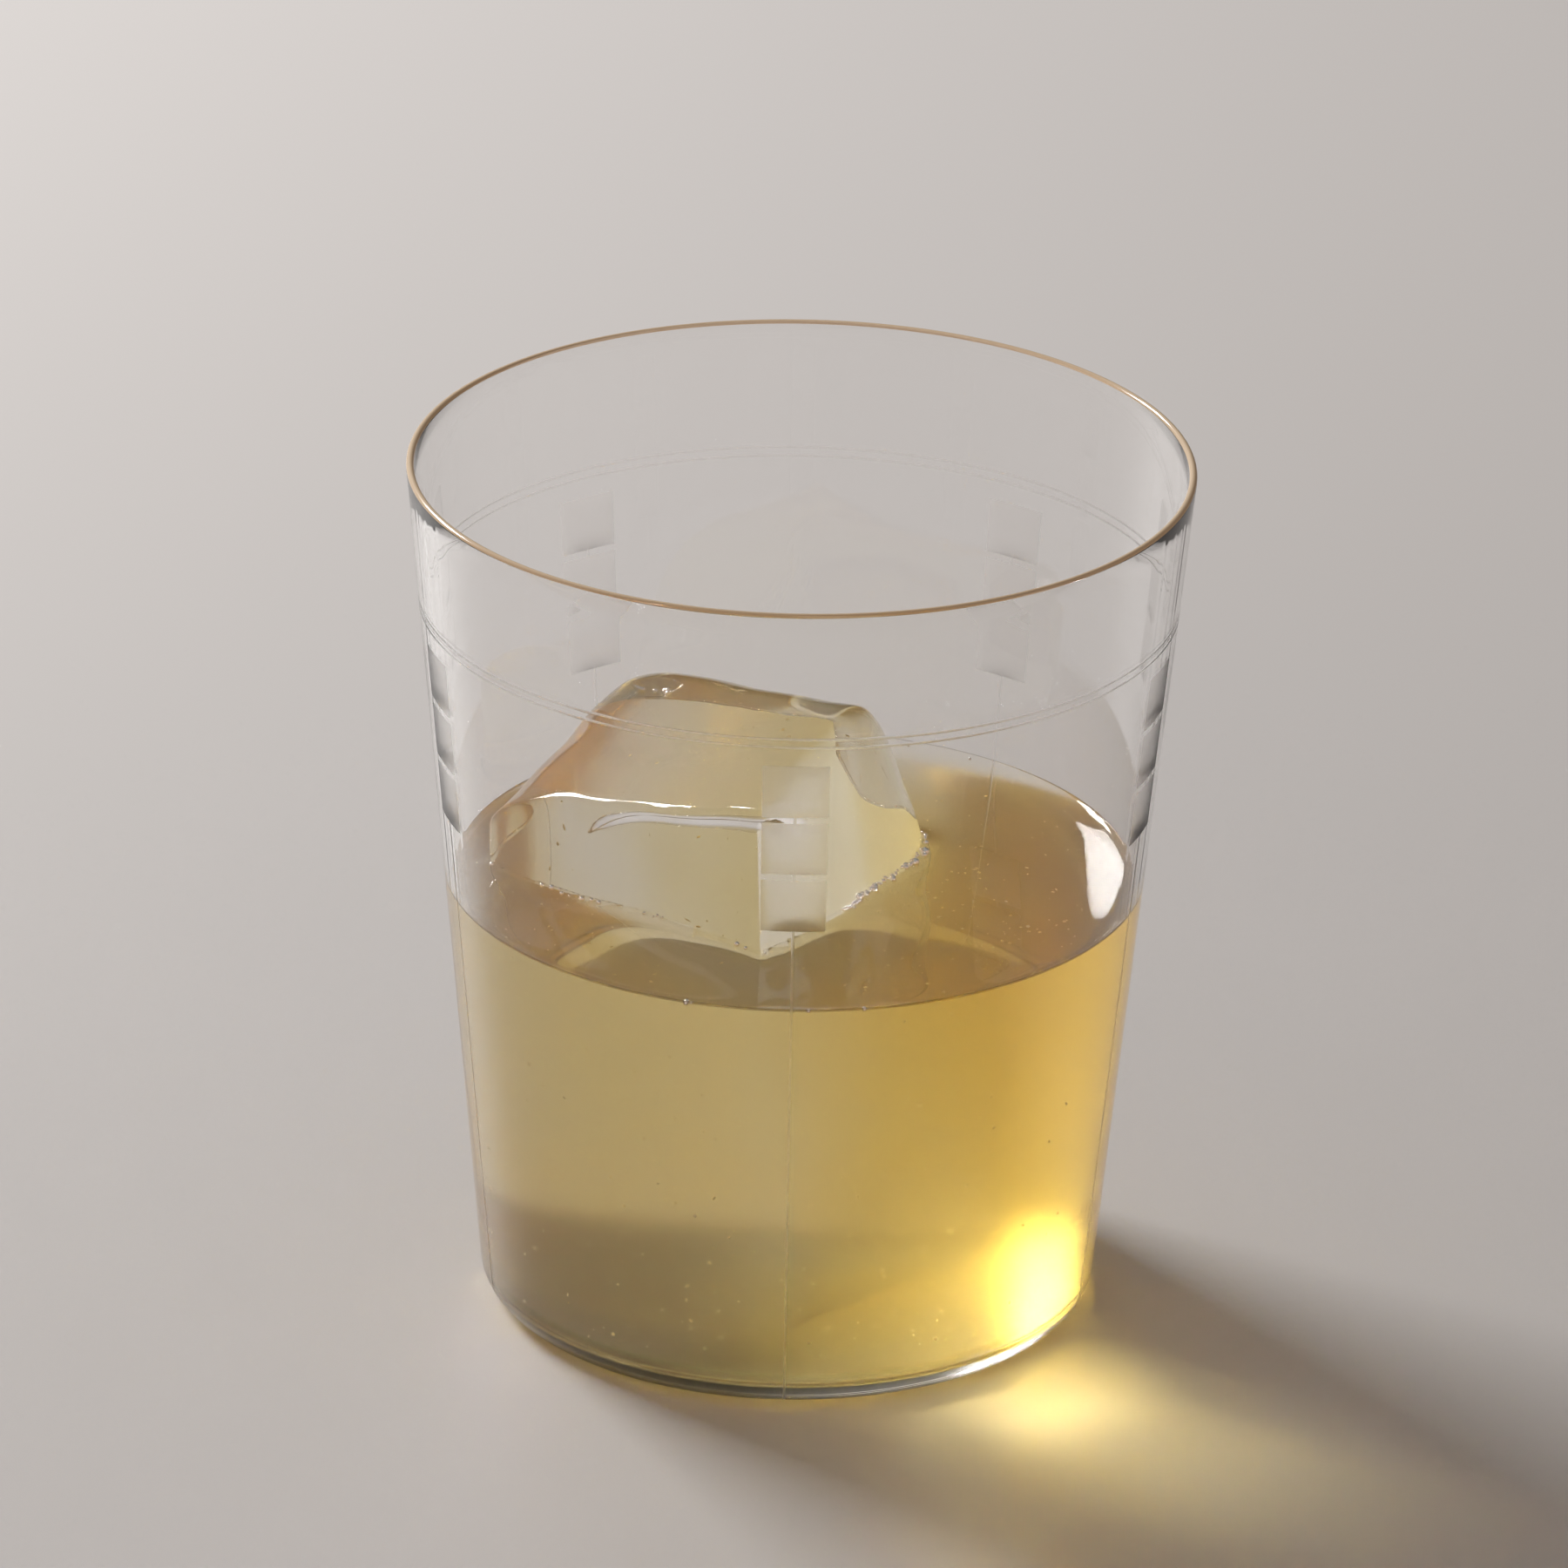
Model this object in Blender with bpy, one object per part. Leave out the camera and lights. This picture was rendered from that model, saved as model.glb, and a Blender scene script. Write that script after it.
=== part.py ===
"""A thin blown tumbler of punch with one tall block of clear ice standing in it.

The glass stands on the table at z = 0 with its axis on Z, and the side that shows
one cut column face on looks along -Y. All sizes are in metres.
"""

import math

import bmesh
import bpy
from mathutils import Vector

MM = 0.001

# The tumbler: a straight cone, 88 mm across the rim and 100 mm tall
HEIGHT = 100.0 * MM
RIM_RADIUS = 44.0 * MM
FOOT_RADIUS = 34.7 * MM  # where the line of the outer wall would meet the table
WALL = 0.9 * MM
BASE = 1.5 * MM
HEEL_RADIUS = 3.5 * MM
INNER_HEEL_RADIUS = 2.8 * MM
GLASS_SIDES = 96

# The cut decoration: two rings, and five columns of three squares over one long line
RING_DROPS = (15.2 * MM, 16.2 * MM)  # below the rim
RING_WIDTH = 0.4 * MM
RING_DEPTH = 0.12 * MM
COLUMNS = 5
SQUARES = 3
SQUARE_WIDTH = 7.2 * MM
SQUARE_HEIGHT = 6.3 * MM
SQUARE_PITCH = 7.05 * MM
FIRST_SQUARE_TOP = 81.5 * MM
SQUARE_DEPTH = 0.16 * MM
LINE_WIDTH = 0.35 * MM
LINE_DEPTH = 0.11 * MM
CUTTER_REACH = 0.6 * MM  # how far a cutter stands out of the wall
CUTTER_STEPS = 5

# The punch: just under half full, and drawn up where it wets the wall
LEVEL = 50.0 * MM
MENISCUS_HEIGHT = 1.1 * MM
MENISCUS_LENGTH = 1.1 * MM  # the distance over which it falls to a third
MENISCUS_SPAN = 4.0 * MM
MENISCUS_STEPS = 5
PUNCH_SIDES = 72
GAP = 0.3 * MM  # left between solids that touch

# The ice: corners in plan, counter-clockwise from the one nearest the viewer, with their
# heights. The block leans to the left, so that its left side is the lowest.
ICE_TOP = (
    Vector((-3.2, -24.0, 67.2)) * MM,
    Vector((9.6, 8.8, 66.6)) * MM,
    Vector((-18.6, 31.8, 62.0)) * MM,
    Vector((-33.4, -1.0, 61.8)) * MM,
)
ICE_WAIST = (
    Vector((-2.4, -25.0, 50.2)) * MM,
    Vector((16.0, 8.6, 50.2)) * MM,
    Vector((-16.4, 32.4, 50.2)) * MM,
    Vector((-34.2, -0.4, 50.2)) * MM,
)
ICE_FOOT = (
    Vector((1.0, -22.5, 5.4)) * MM,
    Vector((17.0, 8.0, 5.8)) * MM,
    Vector((-13.0, 26.5, 2.8)) * MM,
    Vector((-27.5, -2.5, 2.6)) * MM,
)
ICE_WAIST_SHARE = 0.74  # how far up the block the waist lies
ICE_WAIST_SOFTNESS = 0.06  # over what share of its height the sides turn inwards there
ICE_SIDE = 36.0 * MM
ICE_HEIGHT = 62.0 * MM
ICE_EDGE_RADIUS = 4.2 * MM
ICE_ROUND_STEPS = 3
ICE_SIDE_STEPS = 6
ICE_HEIGHT_STEPS = 9
ICE_MELT_DEPTH = 0.35 * MM
ICE_MELT_LENGTH = 17.0 * MM


def outer_radius(z):
    """The outer radius of the straight wall at a height."""
    return FOOT_RADIUS + (RIM_RADIUS - FOOT_RADIUS) * z / HEIGHT


def inner_radius(z):
    return outer_radius(z) - WALL


def material(name, colour, roughness, ior, transmission):
    made = bpy.data.materials.new(name)
    made.use_nodes = True
    shader = made.node_tree.nodes["Principled BSDF"]
    shader.inputs["Base Color"].default_value = (*colour, 1.0)
    shader.inputs["Metallic"].default_value = 0.0
    shader.inputs["Roughness"].default_value = roughness
    shader.inputs["IOR"].default_value = ior
    shader.inputs["Transmission Weight"].default_value = transmission
    return made


def mesh_object(name, mesh, finish=None):
    made = bpy.data.objects.new(name, mesh)
    bpy.context.scene.collection.objects.link(made)
    if finish:
        mesh.materials.append(finish)
    return made


def arc(centre_r, centre_z, radius, first, last, steps):
    """Points (r, z) along an arc, with angles in degrees from the outward direction."""
    turn = (last - first) / steps
    angles = [math.radians(first + turn * step) for step in range(steps + 1)]
    return [(centre_r + radius * math.cos(a), centre_z + radius * math.sin(a)) for a in angles]


def turned(name, profile, sides, finish):
    """A solid turned about Z from (r, z) points that start and end on the axis."""
    mesh = bpy.data.meshes.new(name)
    points = [(r, 0.0, z) for r, z in profile]
    mesh.from_pydata(points, [(i, i + 1) for i in range(len(points) - 1)], [])
    made = mesh_object(name, mesh, finish)
    screw = made.modifiers.new("turn", "SCREW")
    screw.axis = "Z"
    screw.angle = math.tau
    screw.steps = sides
    screw.render_steps = sides
    screw.use_merge_vertices = True
    screw.merge_threshold = 0.00001
    screw.use_smooth_shade = True
    return made


def heel(radius, wall_offset, floor_z, steps):
    """The rounded corner between floor and wall, from the floor outwards."""
    slope = (RIM_RADIUS - FOOT_RADIUS) / HEIGHT
    lean = math.degrees(math.atan(slope))
    centre_z = floor_z + radius
    wall_r = outer_radius(centre_z) - wall_offset
    centre_r = wall_r - radius / math.cos(math.radians(lean))
    return arc(centre_r, centre_z, radius, -90.0, -lean, steps)


def ring_cut(drop):
    """The three points of one V-shaped ring on the outer wall, from the top down."""
    z = HEIGHT - drop
    half = RING_WIDTH / 2
    return [
        (outer_radius(z + half), z + half),
        (outer_radius(z) - RING_DEPTH, z),
        (outer_radius(z - half), z - half),
    ]


def tumbler_profile():
    """From the middle of the floor, up inside, over the lip, down outside and under."""
    lip_radius = WALL / 2
    lip_z = HEIGHT - lip_radius
    inside = heel(INNER_HEEL_RADIUS, WALL, BASE, 5)
    lip = arc(outer_radius(lip_z) - lip_radius, lip_z, lip_radius, 180.0, 0.0, 6)
    rings = [point for drop in RING_DROPS for point in ring_cut(drop)]
    outside = list(reversed(heel(HEEL_RADIUS, 0.0, 0.0, 6)))
    return [(0.0, BASE), *inside, *lip, *rings, *outside, (0.0, 0.0)]


def curved_block(shell, azimuth, width, low, high, depth):
    """Adds to a bmesh one block that follows the wall, from depth inside it to outside it."""
    half_angle = width / 2 / outer_radius((low + high) / 2)
    rows = []
    for step in range(CUTTER_STEPS + 1):
        angle = azimuth + half_angle * (2 * step / CUTTER_STEPS - 1)
        across = Vector((math.sin(angle), -math.cos(angle), 0.0))
        corners = []
        for z, reach in ((low, -depth), (low, CUTTER_REACH), (high, CUTTER_REACH), (high, -depth)):
            corners.append(shell.verts.new(across * (outer_radius(z) + reach) + Vector((0, 0, z))))
        rows.append(corners)
    for first, second in zip(rows, rows[1:]):
        for side in range(4):
            after = (side + 1) % 4
            shell.faces.new((first[side], first[after], second[after], second[side]))
    shell.faces.new(rows[0][::-1])
    shell.faces.new(rows[-1])


def cutter(name, blocks):
    """A hidden object that holds several separate blocks, to be cut out of the wall."""
    shell = bmesh.new()
    for block in blocks:
        curved_block(shell, *block)
    bmesh.ops.recalc_face_normals(shell, faces=shell.faces)
    mesh = bpy.data.meshes.new(name)
    shell.to_mesh(mesh)
    shell.free()
    made = mesh_object(name, mesh)
    made.hide_render = True
    made.display_type = "WIRE"
    return made


def cut_away(target, tool):
    cut = target.modifiers.new("cut " + tool.name, "BOOLEAN")
    cut.operation = "DIFFERENCE"
    cut.solver = "EXACT"
    cut.object = tool


def make_tumbler():
    glass = material("clear glass", (0.96, 0.97, 0.96), 0.02, 1.5, 1.0)
    tumbler = turned("tumbler", tumbler_profile(), GLASS_SIDES, glass)
    last_bottom = FIRST_SQUARE_TOP - SQUARE_PITCH * (SQUARES - 1) - SQUARE_HEIGHT
    squares, lines = [], []
    for column in range(COLUMNS):
        azimuth = math.tau * column / COLUMNS
        for row in range(SQUARES):
            top = FIRST_SQUARE_TOP - SQUARE_PITCH * row
            squares.append((azimuth, SQUARE_WIDTH, top - SQUARE_HEIGHT, top, SQUARE_DEPTH))
            if row > 0:
                # the short tick that ties this square to the one above it
                tick_top = top + SQUARE_PITCH - SQUARE_HEIGHT
                tick = (azimuth, LINE_WIDTH, top - LINE_WIDTH, tick_top + LINE_WIDTH, LINE_DEPTH)
                lines.append(tick)
        lines.append((azimuth, LINE_WIDTH, HEEL_RADIUS, last_bottom + LINE_WIDTH, LINE_DEPTH))
    cut_away(tumbler, cutter("square_cutters", squares))
    cut_away(tumbler, cutter("line_cutters", lines))
    return tumbler


def make_punch(ice_cutter):
    """The drink fills the glass to its level, clear of the wall by the gap, round the ice."""
    amber = material("amber punch", (0.80, 0.60, 0.22), 0.05, 1.345, 0.9)
    floor_z = BASE + GAP
    bottom = heel(INNER_HEEL_RADIUS, WALL + GAP, floor_z, 4)
    top = []
    for step in range(MENISCUS_STEPS + 1):
        away = MENISCUS_SPAN * (step / MENISCUS_STEPS) ** 1.6
        z = LEVEL + MENISCUS_HEIGHT * math.exp(-away / MENISCUS_LENGTH)
        top.append((inner_radius(z) - GAP - away, z))
    profile = [(0.0, LEVEL), *reversed(top), *reversed(bottom), (0.0, floor_z)]
    punch = turned("punch", profile, PUNCH_SIDES, amber)
    cut_away(punch, ice_cutter)
    return punch


def spaced(length, steps):
    """Places along one side of the block, in metres, closer together at its rounded ends."""
    rounding = [
        ICE_EDGE_RADIUS * (1 - math.cos(math.pi / 2 * step / ICE_ROUND_STEPS))
        for step in range(ICE_ROUND_STEPS)
    ]
    flat = length - 2 * ICE_EDGE_RADIUS
    middle = [ICE_EDGE_RADIUS + flat * step / steps for step in range(steps + 1)]
    return rounding + middle + [length - place for place in reversed(rounding)]


def past_waist(share):
    """Nothing below the waist, then a straight rise, with a soft turn between the two."""
    softness = ICE_WAIST_SOFTNESS
    return softness * math.log(1 + math.exp((share - ICE_WAIST_SHARE) / softness))


def corner_at(corner, share):
    """Where one standing edge is at a share of its height: straight to the waist, then in."""
    foot, waist, top = ICE_FOOT[corner], ICE_WAIST[corner], ICE_TOP[corner]
    rise = (waist - foot) / ICE_WAIST_SHARE
    turn = (top - foot - rise) / past_waist(1.0)
    return foot + rise * share + turn * past_waist(share)


def melted(point, grow):
    """Takes a point of the plain box to its place on the melted, leaning block."""
    size = (ICE_SIDE, ICE_SIDE, ICE_HEIGHT)
    low, high = ICE_EDGE_RADIUS, [side - ICE_EDGE_RADIUS for side in size]
    core = Vector([min(max(point[k], low), high[k]) for k in range(3)])
    outward = (Vector(point) - core).normalized()
    rounded = core + outward * (ICE_EDGE_RADIUS + grow)
    u, v, w = [rounded[k] / size[k] for k in range(3)]
    place = (
        corner_at(0, w) * (1 - u) * (1 - v)
        + corner_at(1, w) * u * (1 - v)
        + corner_at(2, w) * u * v
        + corner_at(3, w) * (1 - u) * v
    )
    wave = math.tau / ICE_MELT_LENGTH
    dents = math.sin(wave * place.x + 1.3) * math.sin(wave * place.y) + math.sin(
        wave * place.z * 0.8 + 0.6 + wave * place.x * 0.4
    )
    middle = (place.x + 8.5 * MM, place.y - 3.5 * MM, 0.0)
    return place - Vector(middle).normalized() * ICE_MELT_DEPTH * dents


def ice_mesh(name, grow=0.0):
    """A box of small squares whose points are each taken to their place on the ice."""
    sides = spaced(ICE_SIDE, ICE_SIDE_STEPS)
    rises = spaced(ICE_HEIGHT, ICE_HEIGHT_STEPS)
    places = (sides, sides, rises)
    last = [len(axis) - 1 for axis in places]
    shell = bmesh.new()
    verts = {}

    def vert(index):
        if index not in verts:
            point = [places[k][index[k]] for k in range(3)]
            verts[index] = shell.verts.new(melted(point, grow))
        return verts[index]

    for fixed in range(3):
        first, second = [k for k in range(3) if k != fixed]
        for end in (0, last[fixed]):
            for i in range(last[first]):
                for j in range(last[second]):
                    ring = []
                    for a, b in ((i, j), (i + 1, j), (i + 1, j + 1), (i, j + 1)):
                        index = [0, 0, 0]
                        index[fixed], index[first], index[second] = end, a, b
                        ring.append(vert(tuple(index)))
                    shell.faces.new(ring)
    bmesh.ops.recalc_face_normals(shell, faces=shell.faces)
    mesh = bpy.data.meshes.new(name)
    shell.to_mesh(mesh)
    shell.free()
    mesh.shade_smooth()
    return mesh


def make_ice():
    frost = material("clear ice", (0.93, 0.96, 0.97), 0.08, 1.31, 1.0)
    return mesh_object("ice_block", ice_mesh("ice_block"), frost)


def make_ice_cutter():
    made = mesh_object("ice_cutter", ice_mesh("ice_cutter", GAP))
    made.hide_render = True
    made.display_type = "WIRE"
    return made


def main():
    for old in list(bpy.data.objects):
        bpy.data.objects.remove(old)
    make_tumbler()
    make_ice()
    make_punch(make_ice_cutter())


main()
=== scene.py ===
# %% [markdown]
# # Punch over one tall block of ice
# A thin blown tumbler stands on a pale table, under half full of pale gold punch, with
# one hand-cut block of clear ice standing in it. Clear things have hardly any colour of
# their own, so nearly all of the picture comes from their true shapes: where light
# bends, where it is thrown back, and how far it travels through the drink. The plan is
# therefore to model every surface that light crosses, at its real size, and to give
# each one its real refractive index.

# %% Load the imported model
import math
import random

import bmesh
import bpy
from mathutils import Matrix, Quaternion, Vector
from mathutils.bvhtree import BVHTree


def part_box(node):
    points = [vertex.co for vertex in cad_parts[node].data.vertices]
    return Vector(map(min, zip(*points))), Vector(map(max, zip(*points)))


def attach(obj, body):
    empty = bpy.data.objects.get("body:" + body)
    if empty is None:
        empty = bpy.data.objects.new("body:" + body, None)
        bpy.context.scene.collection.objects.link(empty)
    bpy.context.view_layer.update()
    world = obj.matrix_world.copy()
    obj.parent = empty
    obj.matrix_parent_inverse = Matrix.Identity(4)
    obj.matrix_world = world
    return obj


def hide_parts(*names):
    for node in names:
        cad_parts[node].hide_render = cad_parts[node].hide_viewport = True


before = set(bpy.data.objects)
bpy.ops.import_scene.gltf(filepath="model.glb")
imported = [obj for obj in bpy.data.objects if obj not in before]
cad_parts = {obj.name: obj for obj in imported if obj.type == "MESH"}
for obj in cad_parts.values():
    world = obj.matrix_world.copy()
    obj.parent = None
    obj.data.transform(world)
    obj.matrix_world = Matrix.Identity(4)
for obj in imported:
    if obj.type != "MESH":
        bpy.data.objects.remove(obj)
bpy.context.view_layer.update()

MM = 0.001
TUMBLER_LOW, TUMBLER_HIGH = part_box("tumbler")
HEIGHT = TUMBLER_HIGH.z
RIM_RADIUS = (TUMBLER_HIGH.x - TUMBLER_LOW.x) / 2
print(f"tumbler {HEIGHT / MM:.1f} mm tall, {RIM_RADIUS * 2 / MM:.1f} mm across the rim")

# %% [markdown]
# ## The camera
# A long lens far away draws a glass with almost parallel sides, which is how the still
# life is shot. The camera is placed by how far it stands from the middle of the glass,
# how high it looks down, what it aims at, and a slight roll to one side.

# %% Camera
LENS = 274.74
SENSOR = 36.0
CAMERA_DISTANCE = 1343.4 * MM
CAMERA_ELEVATION = math.radians(23.571)
CAMERA_ROLL = math.radians(1.066)
AIM = Vector((-1.32, 0.0, 61.02)) * MM


def make_camera():
    data = bpy.data.cameras.new("camera")
    data.lens = LENS
    data.sensor_width = SENSOR
    data.clip_start = 0.01
    data.clip_end = 50.0
    camera = bpy.data.objects.new("camera", data)
    bpy.context.scene.collection.objects.link(camera)
    out = CAMERA_DISTANCE * math.cos(CAMERA_ELEVATION)
    up = CAMERA_DISTANCE * math.sin(CAMERA_ELEVATION)
    camera.location = (0.0, -out, AIM.z + up)
    turn = (AIM - camera.location).to_track_quat("-Z", "Y")
    camera.rotation_mode = "QUATERNION"
    camera.rotation_quaternion = turn @ Quaternion((0, 0, 1), CAMERA_ROLL)
    bpy.context.scene.camera = camera


make_camera()
print("camera elevation", round(math.degrees(CAMERA_ELEVATION), 1), "degrees")

# %% [markdown]
# ## Table and light
# The table is a plain pale surface. One soft window-like light stands behind the glass
# on the left, so the shadow falls towards the viewer on the right, and light that the
# drink gathers makes a warm patch inside that shadow. Clear things show the room more
# than themselves, so the room matters too: warm walls, a paler ceiling, one dark corner
# and a wall lit by the window, all painted softly on the world by direction.

# %% Small helpers for shader nodes
def new_material(name):
    made = bpy.data.materials.new(name)
    made.use_nodes = True
    made.node_tree.nodes.clear()
    return made


def add_node(tree, kind, **inputs):
    """Adds a node and sets its inputs by name, where a name holds _ for each space."""
    node = tree.nodes.new(kind)
    for name, value in inputs.items():
        socket = node.inputs[name.replace("_", " ")]
        if isinstance(value, bpy.types.NodeSocket):
            tree.links.new(value, socket)
        else:
            socket.default_value = value
    return node


def output_of(tree, surface, volume=None):
    output = tree.nodes.new("ShaderNodeOutputMaterial")
    tree.links.new(surface, output.inputs["Surface"])
    if volume:
        tree.links.new(volume, output.inputs["Volume"])


# %% Table
TABLE_COLOUR = (0.53, 0.518, 0.515, 1.0)
TABLE_ROUGHNESS = 0.5
TABLE_RADIUS = 8.0
TABLE_DROP = 0.02 * MM  # keeps the table's plane just clear of the foot of the glass


def make_table():
    shell = bmesh.new()
    bmesh.ops.create_circle(shell, cap_ends=True, segments=64, radius=TABLE_RADIUS)
    mesh = bpy.data.meshes.new("table")
    shell.to_mesh(mesh)
    shell.free()
    table = bpy.data.objects.new("table", mesh)
    table.location.z = -TABLE_DROP
    bpy.context.scene.collection.objects.link(table)
    finish = new_material("pale table")
    shader = add_node(
        finish.node_tree, "ShaderNodeBsdfPrincipled", Base_Color=TABLE_COLOUR, Roughness=TABLE_ROUGHNESS
    )
    output_of(finish.node_tree, shader.outputs["BSDF"])
    mesh.materials.append(finish)


make_table()
print("table:", TABLE_RADIUS * 2, "m across")

# %% Lights
KEY_AZIMUTH = math.radians(43.5)  # how far to the left of straight behind the glass
KEY_ELEVATION = math.radians(33.2)
KEY_DISTANCE = 1.25
KEY_WIDTH = 0.45
KEY_HEIGHT = 0.2
KEY_POWER = 15.5
KEY_COLOUR = (1.0, 0.99, 0.975)
CEILING = (0.27, 0.265, 0.26)
CEILING_RISE = (0.3, 0.8)  # the height of a direction where the ceiling starts and is full
WARM_WALLS = (0.55, 0.36, 0.235)
DARK_CORNER = (0.05, 0.05, 0.045)
DARK_PLACE = (math.radians(-24.0), math.radians(20.0))  # azimuth and elevation
DARK_SPREAD = (math.radians(26.0), math.radians(52.0))  # full inside, gone outside
LIT_WALL = (0.62, 0.62, 0.63)
LIT_PLACE = (math.radians(31.0), math.radians(27.0))
LIT_SPREAD = (math.radians(10.0), math.radians(36.0))


def towards(azimuth, elevation):
    """The direction of a place in the room, with azimuths as KEY_AZIMUTH has them."""
    flat = math.cos(elevation)
    return Vector((-math.sin(azimuth) * flat, math.cos(azimuth) * flat, math.sin(elevation)))


def make_area_light(name, azimuth, elevation, distance, width, height, power, colour):
    data = bpy.data.lights.new(name, "AREA")
    data.shape = "RECTANGLE"
    data.size = width
    data.size_y = height
    data.energy = power
    data.color = colour
    light = bpy.data.objects.new(name, data)
    bpy.context.scene.collection.objects.link(light)
    light.location = towards(azimuth, elevation) * distance
    light.rotation_mode = "QUATERNION"
    light.rotation_quaternion = light.location.to_track_quat("Z", "Y")


def soft_step(tree, value, low, high):
    """Runs smoothly from 0 to 1 while value goes from low to high."""
    step = add_node(tree, "ShaderNodeMapRange", Value=value, From_Min=low, From_Max=high)
    step.interpolation_type = "SMOOTHSTEP"
    return step.outputs["Result"]


def near_place(tree, direction, place, spread):
    """1 within the first angle of a place in the room, and 0 beyond the second."""
    near = tree.nodes.new("ShaderNodeVectorMath")
    near.operation = "DOT_PRODUCT"
    tree.links.new(direction, near.inputs[0])
    near.inputs[1].default_value = towards(*place)
    return soft_step(tree, near.outputs["Value"], math.cos(spread[1]), math.cos(spread[0]))


def blended(tree, share, first, second):
    """The first colour where share is 0, the second where it is 1."""
    mix = tree.nodes.new("ShaderNodeMix")
    mix.data_type = "RGBA"
    tree.links.new(share, mix.inputs[0])
    for socket, colour in ((mix.inputs[6], first), (mix.inputs[7], second)):
        if isinstance(colour, bpy.types.NodeSocket):
            tree.links.new(colour, socket)
        else:
            socket.default_value = (*colour, 1.0)
    return mix.outputs[2]


def make_room():
    """Warm walls, a paler ceiling, one dark corner, and a lit wall beside the window."""
    world = bpy.data.worlds.new("room")
    world.use_nodes = True
    tree = world.node_tree
    direction = tree.nodes.new("ShaderNodeTexCoord").outputs["Generated"]
    split = add_node(tree, "ShaderNodeSeparateXYZ", Vector=direction)
    rise = soft_step(tree, split.outputs["Z"], *CEILING_RISE)
    colour = blended(tree, rise, WARM_WALLS, CEILING)
    colour = blended(tree, near_place(tree, direction, DARK_PLACE, DARK_SPREAD), colour, DARK_CORNER)
    colour = blended(tree, near_place(tree, direction, LIT_PLACE, LIT_SPREAD), colour, LIT_WALL)
    tree.links.new(colour, tree.nodes["Background"].inputs["Color"])
    bpy.context.scene.world = world


make_area_light(
    "window",
    KEY_AZIMUTH,
    KEY_ELEVATION,
    KEY_DISTANCE,
    KEY_WIDTH,
    KEY_HEIGHT,
    KEY_POWER,
    KEY_COLOUR,
)
make_room()
print("window:", KEY_WIDTH, "by", KEY_HEIGHT, "m,", KEY_POWER, "W")

# %% [markdown]
# ## How light is followed
# On its way from the table to the eye, light crosses a dozen faces of glass, drink and
# ice, and is often thrown back inside them. A path that is cut off too early leaves
# black patches, so many bends are allowed. With a single lamp there is nothing to sort,
# so the light tree, which picks among many lamps, is off and saves time.

# %% Render settings
scene = bpy.context.scene
scene.view_settings.view_transform = "Standard"
scene.cycles.use_denoising = True
scene.cycles.max_bounces = 32
scene.cycles.diffuse_bounces = 2
scene.cycles.glossy_bounces = 8
scene.cycles.transmission_bounces = 26
scene.cycles.volume_bounces = 6
scene.cycles.use_light_tree = False
scene.cycles.transparent_max_bounces = 16
scene.cycles.blur_glossy = 0.1
scene.cycles.sample_clamp_indirect = 0.0
print("a path may bend", scene.cycles.max_bounces, "times")

# %% [markdown]
# ## Finishes of the glass
# Blown glass is smooth enough to count as perfectly polished, with a refractive index
# near 1.5. The wheel-cut pattern is the same glass with a matt skin, which scatters what
# passes through it. One node group makes the faint unevenness of a hand-blown wall, and
# both finishes use it with their own strength.
# The lip has a third finish, with a warm glow painted into its colour.

# %% Glass materials
def soft_waves_group():
    """A shader group whose output is a normal that wanders slightly over the surface."""
    group = bpy.data.node_groups.new("soft waves", "ShaderNodeTree")
    for name, kind, value in (
        ("Scale", "NodeSocketFloat", 60.0),
        ("Detail", "NodeSocketFloat", 1.0),
        ("Strength", "NodeSocketFloat", 0.2),
        ("Height", "NodeSocketFloat", 0.0001),
    ):
        socket = group.interface.new_socket(name, in_out="INPUT", socket_type=kind)
        socket.default_value = value
    group.interface.new_socket("Normal", in_out="OUTPUT", socket_type="NodeSocketVector")
    inputs = group.nodes.new("NodeGroupInput")
    place = group.nodes.new("ShaderNodeTexCoord")
    waves = add_node(
        group,
        "ShaderNodeTexNoise",
        Vector=place.outputs["Object"],
        Scale=inputs.outputs["Scale"],
        Detail=inputs.outputs["Detail"],
    )
    bump = add_node(
        group,
        "ShaderNodeBump",
        Height=waves.outputs["Fac"],
        Strength=inputs.outputs["Strength"],
        Distance=inputs.outputs["Height"],
    )
    outputs = group.nodes.new("NodeGroupOutput")
    group.links.new(bump.outputs["Normal"], outputs.inputs["Normal"])
    return group


SOFT_WAVES = soft_waves_group()


def waves_in(tree, scale, strength, height, detail=1.0):
    """Places the group in a material with its own values, and gives its normal."""
    node = tree.nodes.new("ShaderNodeGroup")
    node.node_tree = SOFT_WAVES
    node.inputs["Scale"].default_value = scale
    node.inputs["Detail"].default_value = detail
    node.inputs["Strength"].default_value = strength
    node.inputs["Height"].default_value = height
    return node.outputs["Normal"]


def clear_shader(tree, colour, ior, roughness, normal=None):
    shader = add_node(tree, "ShaderNodeBsdfPrincipled", IOR=ior, Roughness=roughness)
    shader.inputs["Base Color"].default_value = (*colour, 1.0)
    shader.inputs["Metallic"].default_value = 0.0
    shader.inputs["Transmission Weight"].default_value = 1.0
    if normal:
        tree.links.new(normal, shader.inputs["Normal"])
    return shader


def glass_finish(name, colour, roughness, scale, strength, height, clearness=1.0):
    made = new_material(name)
    tree = made.node_tree
    normal = waves_in(tree, scale, strength, height)
    shader = clear_shader(tree, colour, GLASS_IOR, roughness, normal)
    shader.inputs["Transmission Weight"].default_value = clearness
    output_of(tree, shader.outputs["BSDF"])
    return made


def painted_rim_glow_finish():
    """The lip's warm, soft glow, from light that runs up inside the wall, is painted into its colour.
    """
    made = new_material("rim with painted glow")
    tree = made.node_tree
    shader = clear_shader(tree, RIM_PAINTED_GLOW, GLASS_IOR, RIM_ROUGHNESS)
    shader.inputs["Transmission Weight"].default_value = RIM_CLEARNESS
    output_of(tree, shader.outputs["BSDF"])
    return made


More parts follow.
